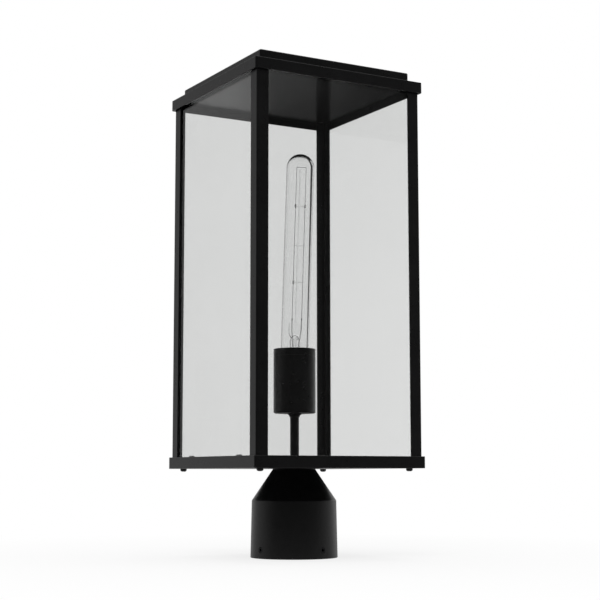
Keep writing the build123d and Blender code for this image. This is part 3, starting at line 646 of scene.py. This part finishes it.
def screw_shell():
    """The holder's shell, a strip of the same thread with room for the cap in it."""
    outside, wall = 13.45, 0.42
    heights = steps_between(SHELL_BOTTOM + 0.8, SHELL_TOP, 0.3)
    outline = [(9.0, SHELL_BOTTOM), (13.0, SHELL_BOTTOM), (13.4, SHELL_BOTTOM + 0.3)]
    outline += [(outside, h, 0.52) for h in heights]
    outline += [(outside - wall, h, 0.52) for h in reversed(heights)]
    outline += [(12.9, SHELL_BOTTOM + 0.5), (9.0, SHELL_BOTTOM + wall)]
    shell = Solid()
    shell.turn(outline, 96, closed=True, wave=rolled_wave(SHELL_BOTTOM + 0.9, SHELL_TOP - 0.6, 1.2))
    finish_piece("screw_shell_rolled", shell.mesh("shell"), ["screw_shell"], "base", "brass", crease=50.0)


def bulb_outline(inset):
    """A face of the bulb: neck, shoulder, long side and a round crown where the glass is thicker."""
    body, neck = BULB_RADIUS - inset, BULB_NECK - inset
    thicker = 1.3 * inset
    line = [(neck, GLASS_FOOT), (neck, -0.2)]
    line += [(neck + (body - neck) * ease(k / 12), 0.2 + 6.6 * (k / 12)) for k in range(13)]
    line += [(body, 12.0 + (BULB_CROWN - 12.0) * k / 14) for k in range(15)]
    for k in range(1, 26):
        turn = pi / 2 * k / 26
        reach = body - thicker * sin(turn) ** 2
        line.append((reach * cos(turn), BULB_CROWN + reach * sin(turn)))
    return line + [(0.0, BULB_CROWN + body - thicker)]


def lamp_bulb():
    """The lamp's glass, a wall between an outer and an inner outline."""
    bulb = Solid()
    bulb.turn(bulb_outline(0.0) + bulb_outline(BULB_WALL)[::-1], 128, closed=True)
    finish_piece("lamp_glass_drawn", bulb.mesh("bulb", LAMP_FRAME), ["lamp_glass"], "lamp", "lamp_glass",
                 crease=60.0)


def press_ring(height, half_wide, half_thick, power):
    """One level of the mount, between a circle and a flat press with round edges."""
    ring = []
    for k in range(64):
        x, y = cos(tau * k / 64), sin(tau * k / 64)
        ring.append((
            half_wide * (abs(x) ** power) * (1 if x >= 0 else -1),
            half_thick * (abs(y) ** power) * (1 if y >= 0 else -1),
            height,
        ))
    return ring


def round_ring(height, radius):
    return press_ring(height, radius, radius, 1.0)


def lamp_mount():
    """A flared tube whose end is pressed flat round the leads, with its cavity open below."""
    tube, bore, flare = 5.2, 4.2, 5.2
    press_foot = 14.0
    outside = [round_ring(GLASS_FOOT + 5.0 * t, tube + flare * (1 - t) ** 2.2)
               for t in (0.0, 0.12, 0.25, 0.4, 0.6, 0.8, 1.0)]
    outside += [round_ring(h, tube) for h in (4.0, 10.0, press_foot)]
    for k in range(1, 9):
        pressed = ease(k / 8)
        outside.append(press_ring(press_foot + 8.0 * (k / 8), tube + 1.7 * pressed,
                                  tube - 3.4 * pressed, 1.0 - 0.45 * pressed))
    outside += [press_ring(h, half_wide, half_thick, 0.55) for h, half_wide, half_thick in (
        (28.0, 6.9, 1.8), (31.0, 6.8, 1.75), (31.8, 6.4, 1.4), (MOUNT_TOP, 5.8, 0.8),
    )]
    cavity = [press_ring(19.0, 1.2, 0.5, 1.0), press_ring(17.5, 3.2, 2.0, 1.0),
              press_ring(press_foot, bore, 4.1, 1.0)]
    cavity += [round_ring(h, bore) for h in (4.0, -1.0)]
    cavity += [round_ring(-1.0 - 5.0 * t, bore + flare * t ** 2.2) for t in (0.2, 0.4, 0.6, 0.8, 1.0)]
    mount = Solid()
    mount.rings(outside + [[(0.0, 0.0, MOUNT_TOP)]])
    mount.rings([[(0.0, 0.0, 19.3)]] + cavity + [outside[0]])
    finish_piece("lamp_mount_pressed", mount.mesh("mount", LAMP_FRAME), ["lamp_mount"], "lamp",
                 "lamp_glass", crease=60.0, material=STEM_GLASS)


def lamp_rod():
    """The rod, with the button at its end that held the wires while the glass was soft."""
    foot = MOUNT_TOP - 0.1
    outline = [(0.0, foot), (ROD_RADIUS, foot)] + [(ROD_RADIUS, foot + 8 * k) for k in range(1, 20)]
    outline += [(0.9, 187.0), (1.1, 188.3), (1.1, 189.4), (0.9, 190.5), (0.5, 191.0), (0.0, 191.1)]
    rod = Solid()
    rod.turn(outline, 32)
    finish_piece("lamp_rod_drawn", rod.mesh("rod", LAMP_FRAME), ["lamp_rod"], "lamp", "lamp_glass",
                 crease=60.0, material=STEM_GLASS)


def coil_path(line, coil_radius, pitch, per_turn):
    """A helix wound round a line of (x, z) points in the lamp's own plane."""
    lengths = [0.0]
    for (x0, z0), (x1, z1) in zip(line, line[1:]):
        lengths.append(lengths[-1] + sqrt((x1 - x0) ** 2 + (z1 - z0) ** 2))
    path, leg = [], 0
    count = int(lengths[-1] / pitch * per_turn)
    for k in range(count + 1):
        along = lengths[-1] * k / count
        while leg < len(line) - 2 and lengths[leg + 1] < along:
            leg += 1
        (x0, z0), (x1, z1) = line[leg], line[leg + 1]
        share = (along - lengths[leg]) / (lengths[leg + 1] - lengths[leg])
        run = sqrt((x1 - x0) ** 2 + (z1 - z0) ** 2)
        side = ((z1 - z0) / run, -(x1 - x0) / run)
        angle = tau * k / per_turn
        out, across = coil_radius * cos(angle), coil_radius * sin(angle)
        path.append((
            x0 + (x1 - x0) * share + side[0] * out, across, z0 + (z1 - z0) * share + side[1] * out,
        ))
    return path


def lamp_filament():
    """Fine wire coiled along the two strands and over their top."""
    left, right = STRAND_SIDES
    strand = [(left, STRAND_FOOT), (left, STRAND_TOP)]
    strand += arc((left + STRAND_BEND, STRAND_TOP), STRAND_BEND, 180, 90, 6)[1:]
    strand += arc((right - STRAND_BEND, STRAND_TOP), STRAND_BEND, 90, 0, 6)
    strand += [(right, STRAND_FOOT)]
    coil = tube_mesh("coil", [coil_path(strand, 0.24, 0.36, 8)], 0.09, 4, LAMP_FRAME)
    finish_piece("lamp_filament_coil", coil, ["lamp_filament"], "lamp", "filament_wire", crease=80.0)


def lamp_leads():
    """Leads through the press, each with a clamp that grips the strand's end."""
    leads = [[(side * 0.62, 0.0, 8.0), (side * 0.7, 0.0, 16.0), (side * 0.95, 0.0, 24.0),
              (side, 0.0, 36.6)] for side in STRAND_SIDES]
    clamp = Solid()
    clamp.turn([(0.0, 34.6), (0.55, 34.7), (0.6, 35.2), (0.6, 36.6), (0.5, 36.9), (0.0, 37.0)], 16)
    clamps = Solid()
    for side in STRAND_SIDES:
        clamps.take_in(clamp, side)
    wires = tube_mesh("leads", leads, 0.32, 8, LAMP_FRAME)
    finish_piece("lamp_leads_clamped", join("leads", [wires, clamps.mesh("clamps", LAMP_FRAME)]),
                 ["lamp_leads"], "lamp", "filament_wire", crease=50.0, material=LEAD_WIRE)


def support_hook(side, height):
    """A wire out of the rod that ends in a rising loop round a strand."""
    sign = 1 if side > 0 else -1
    eye, rise = 0.62, 0.25
    wire = [(sign * 0.6, 0.0, height - 0.2), (side - sign * 1.2, 0.0, height - 0.05)]
    return wire + [
        (side - sign * eye * cos(tau * k / 14), eye * sin(tau * k / 14), height + rise * k / 14)
        for k in range(15)
    ]


def lamp_supports():
    """A hook for each strand at each height."""
    hooks = [support_hook(side, height) for height in SUPPORT_HEIGHTS for side in STRAND_SIDES]
    finish_piece("lamp_supports_looped", tube_mesh("hooks", hooks, 0.11, 6, LAMP_FRAME),
                 ["lamp_supports"], "lamp", "filament_wire", crease=60.0)


def lamp_beads():
    """Pale beads that hold the strands in the upper loops and the left one in its lowest."""
    left, right = STRAND_SIDES
    lowest, _, highest = SUPPORT_HEIGHTS
    half_wide, half_long = 0.95, 2.3
    beads = Solid()
    for side, height in ((left, highest), (right, highest), (left, lowest)):
        bead = Solid()
        bead.turn([
            (half_wide * sin(pi * k / 12), height - half_long * cos(pi * k / 12)) for k in range(13)
        ], 20)
        beads.take_in(bead, side)
    finish_piece("lamp_support_beads", beads.mesh("beads", LAMP_FRAME), [], "lamp", "filament_wire",
                 crease=60.0, material=BEAD_WHITE)


def lamp_exhaust():
    """The exhaust tube that hangs in the mount, sealed at its end."""
    exhaust = Solid()
    exhaust.turn([(1.6, 16.0), (1.6, 0.0), (1.5, -4.0), (0.9, -6.5), (0.0, -7.2), (0.0, -6.4),
                  (0.5, -5.8), (1.0, -4.0), (1.1, 0.0), (1.1, 16.0)], 24, closed=True)
    finish_piece("lamp_exhaust_tube", exhaust.mesh("exhaust", LAMP_FRAME), [], "lamp", "lamp_glass",
                 crease=60.0, material=STEM_GLASS)


def lamp_tip():
    """The tip's solder, a shallow mound that faces down, on its brass disc."""
    profile = [(0.0, 0.0), (1.2, 0.03), (2.4, 0.16), (3.3, 0.45), (3.9, 0.72), (4.5, 0.86),
               (4.7, 1.05), (4.7, 1.42), (4.6, 1.5), (0.0, 1.5)]
    tip = Solid()
    tip.turn([(radius, LAMP_TIP_BOTTOM + height) for radius, height in profile], 64)
    finish_piece("lamp_tip_soldered", tip.mesh("tip"), ["lamp_tip"], "lamp_contact", "solder",
                 crease=50.0)


for build in (lamp_cap, screw_shell, lamp_bulb, lamp_mount, lamp_rod, lamp_filament, lamp_leads,
              lamp_supports, lamp_beads, lamp_exhaust, lamp_tip):
    build()


# ---- Finishes of the CAD nodes ---------------------------------------------------------------------

for name, node in nodes.items():
    slot = record_slot[name]
    node.data.materials.clear()
    # The liner and the panes take their copies with painted light and shade
    node.data.materials.append(LOOKS_WITH_PAINTED_LIGHT.get(name, MATERIALS[slot]))


# ---- Studio ----------------------------------------------------------------------------------------

WHITE = (1.0, 1.0, 1.0, 1.0)
AMBIENT = 0.34
# Level ways behind the object and to its right, as the camera sees it
BEHIND, RIGHT_OF_IT = (0.496, 0.868, 0.0), (0.868, -0.496, 0.0)

# What metal and glass mirror of the world: its brightness from before the object (0) to behind it (1)
MIRRORED_LEFT = (
    (0.0, 0.04), (0.25, 0.05), (0.42, 0.32), (0.55, 0.34), (0.75, 0.3), (0.88, 0.48), (1.0, 0.75),
)
MIRRORED_RIGHT = (
    (0.0, 0.04), (0.25, 0.05), (0.45, 0.2), (0.55, 0.27), (0.65, 0.22), (0.88, 0.85), (1.0, 0.75),
)
SIDES_MEET = 0.3
OVERHEAD, OVERHEAD_START, OVERHEAD_FULL = 1.1, 0.62, 0.86

# What they mirror of the floor: its brightness over FLOOR_RUN, in metres behind the object
FLOOR_RUN = (-1.0, 2.0)
FLOOR_MIRRORED = (
    (0.0, 0.05), (0.23, 0.12), (0.33, 0.4), (0.4, 0.5), (0.53, 0.5), (0.82, 0.68), (0.9, 0.68),
    (0.94, 0.48),
)
# A dark board on the floor, seen in mirrors only, with soft edges; its near left part is paler
BOARD_NEAR, BOARD_LEFT, BOARD_RIGHT = (1.0, 1.35), (-0.13, -0.06), (0.45, 0.7)
PALER_FAR, PALER_RIGHT, PALER_LEVEL = (1.66, 1.78), (0.08, 0.13), 0.4
TWICE_MIRRORED = 0.15

# How white the camera sees the floor, near the object and from the second distance on
SHADOW_REACH, SHADOW_WHITE = (0.05, 0.6), 0.8


def area_light(name, place, aim, size, power):
    """A square light that shines on the object and is itself seen in no view, glass or metal."""
    data = bpy.data.lights.new(name, "AREA")
    data.shape, data.size, data.energy = "SQUARE", size, power
    light = bpy.data.objects.new(name, data)
    light.location = place
    light.rotation_mode = "QUATERNION"
    light.rotation_quaternion = (Vector(aim) - Vector(place)).to_track_quat("-Z", "Y")
    light.visible_camera = False
    light.visible_transmission = False
    light.visible_glossy = False
    scene.collection.objects.link(light)


def either(kit, first, second):
    """The greater of two shares."""
    return kit.math("MAXIMUM", first, second)


def once(kit, depth):
    """1 where a ray has a depth of 1 or more, else 0."""
    return kit.math("MINIMUM", depth, 1.0)


def studio_world():
    """White behind the object; what metal and glass mirror is bright behind it and dark before it."""
    world = bpy.data.worlds.new("studio")
    world.use_nodes = True
    world.cycles.sampling_method = "NONE"
    kit = NodeKit(world.node_tree)
    kit.tree.nodes.clear()
    path = kit.add("ShaderNodeLightPath").outputs
    direction = kit.add("ShaderNodeTexCoord").outputs["Generated"]
    way_round = kit.span(kit.dot(direction, BEHIND), -1.0, 1.0, 0.0, 1.0)

    def brightness(stops):
        return kit.add("ShaderNodeRGBToBW", {0: kit.ramp(way_round, *stops)}).outputs[0]

    def background(strength):
        return kit.add("ShaderNodeBackground", {"Color": WHITE, "Strength": strength}).outputs[0]

    def mixed(share, first, second):
        return kit.add("ShaderNodeMixShader", {0: share, 1: first, 2: second}).outputs[0]

    to_right = kit.span(kit.dot(direction, RIGHT_OF_IT), -SIDES_MEET, SIDES_MEET, 0.0, 1.0)
    ring = kit.add(
        "ShaderNodeMix", {0: to_right, 2: brightness(MIRRORED_LEFT), 3: brightness(MIRRORED_RIGHT)}
    ).outputs[0]
    up = kit.add("ShaderNodeSeparateXYZ", {0: direction}).outputs["Z"]
    overhead = kit.span(up, OVERHEAD_START, OVERHEAD_FULL, 0.0, 1.0)
    level = either(kit, ring, kit.math("MULTIPLY", overhead, OVERHEAD))
    bounced = once(kit, kit.math("ADD", path["Glossy Depth"], path["Diffuse Depth"]))
    straight = kit.math("SUBTRACT", 1.0, bounced)
    seen = kit.math("MULTIPLY", straight, either(kit, path["Is Camera Ray"], path["Is Transmission Ray"]))
    not_seen = mixed(once(kit, path["Glossy Depth"]), background(AMBIENT), background(level))
    out = kit.add("ShaderNodeOutputWorld")
    kit.tree.links.new(mixed(seen, not_seen, background(1.0)), out.inputs["Surface"])
    scene.world = world


def floor_mesh():
    """A round floor, so wide that no view shows its edge."""
    shape = bmesh.new()
    bmesh.ops.create_circle(shape, cap_ends=True, segments=96, radius=40.0)
    mesh = bpy.data.meshes.new("floor")
    shape.to_mesh(mesh)
    shape.free()
    return mesh


def mirrored_floor(m, place, glossy_depth):
    """The floor's brightness in mirrors, less the dark board, and dimmer in a mirror's mirror."""
    behind = m.dot(place, BEHIND)
    aside = m.dot(place, RIGHT_OF_IT)
    clear_of_board = m.math("MULTIPLY", m.span(behind, *PALER_FAR, PALER_LEVEL, 0.0),
                            m.span(aside, *PALER_RIGHT, 1.0, 0.0))
    for edge in (m.span(behind, *BOARD_NEAR, 1.0, 0.0), m.span(aside, *BOARD_LEFT, 1.0, 0.0),
                 m.span(aside, *BOARD_RIGHT, 0.0, 1.0)):
        clear_of_board = either(m, clear_of_board, edge)
    ring = m.ramp(m.span(behind, *FLOOR_RUN, 0.0, 1.0), *FLOOR_MIRRORED)
    dimming = m.span(glossy_depth, 1.0, 2.0, 1.0, TWICE_MIRRORED)
    return m.math("MULTIPLY", m.math("MULTIPLY", ring, clear_of_board), dimming)


def pale_floor():
    """A white floor that keeps the soft shadow near the object and is pure white further away."""
    mesh = floor_mesh()
    floor = bpy.data.objects.new("floor", mesh)
    floor.location.z = -0.0004
    scene.collection.objects.link(floor)
    m = Shade("floor_white", Base_Color=(0.93, 0.93, 0.93, 1.0), Roughness=0.9, Specular_IOR_Level=0.0)
    path = m.add("ShaderNodeLightPath").outputs
    place = m.place()
    mirrored = once(m, path["Glossy Depth"])
    not_scattered = m.math("SUBTRACT", 1.0, once(m, path["Diffuse Depth"]))
    direct = either(m, path["Is Camera Ray"], path["Is Transmission Ray"])
    reach = m.add("ShaderNodeVectorMath", {0: place}, operation="LENGTH").outputs["Value"]
    seen = m.math("MULTIPLY", direct, m.span(reach, *SHADOW_REACH, SHADOW_WHITE, 1.0))
    share = m.math("MULTIPLY", not_scattered, either(m, seen, mirrored))
    darker = m.math("SUBTRACT", 1.0, mirrored_floor(m, place, path["Glossy Depth"]))
    strength = m.math("SUBTRACT", 1.0, m.math("MULTIPLY", mirrored, darker))
    m.blend_surface(share, m.add("ShaderNodeEmission", {"Color": WHITE, "Strength": strength}))
    mesh.materials.append(m.material)


area_light("key", (-1.7, -1.9, 2.5), (0, 0, 0.25), 1.4, 42.0)
area_light("top", (0.1, 0.2, 3.1), (0, 0, 0.3), 2.0, 30.0)
area_light("fill", (2.2, -1.5, 1.3), (0, 0, 0.25), 1.6, 14.0)
studio_world()
pale_floor()

scene.view_settings.view_transform = "Standard"
scene.cycles.use_denoising = True
scene.cycles.max_bounces = 24
scene.cycles.transmission_bounces = 20
scene.cycles.transparent_max_bounces = 24
scene.cycles.glossy_bounces = 6


# ---- Camera ----------------------------------------------------------------------------------------

DISTANCE, AZIMUTH, EYE_HEIGHT = 1433.539, radians(-29.502), 80.836
HEADING, PITCH, ROLL = AZIMUTH + radians(-0.247), radians(7.089), radians(-0.051)
SENSOR_WIDTH, FOCAL_LENGTH = 36.0, 84.808

forward = Vector((-sin(HEADING) * cos(PITCH), cos(HEADING) * cos(PITCH), sin(PITCH)))
level = Vector((cos(HEADING), sin(HEADING), 0.0))
above = level.cross(forward)
across_view = level * cos(ROLL) + above * sin(ROLL)
up_view = above * cos(ROLL) - level * sin(ROLL)

camera_data = bpy.data.cameras.new("camera")
camera_data.sensor_width = SENSOR_WIDTH
camera_data.lens = FOCAL_LENGTH
camera_data.clip_start, camera_data.clip_end = 0.05, 200.0
camera = bpy.data.objects.new("camera", camera_data)
eye = Vector((DISTANCE * sin(AZIMUTH), -DISTANCE * cos(AZIMUTH), EYE_HEIGHT)) * MM
camera.matrix_world = Matrix.Translation(eye) @ turned_to(across_view, up_view, -forward)
scene.collection.objects.link(camera)
scene.camera = camera

# ---- Last update of the scene ----------------------------------------------------------------------

bpy.context.view_layer.update()
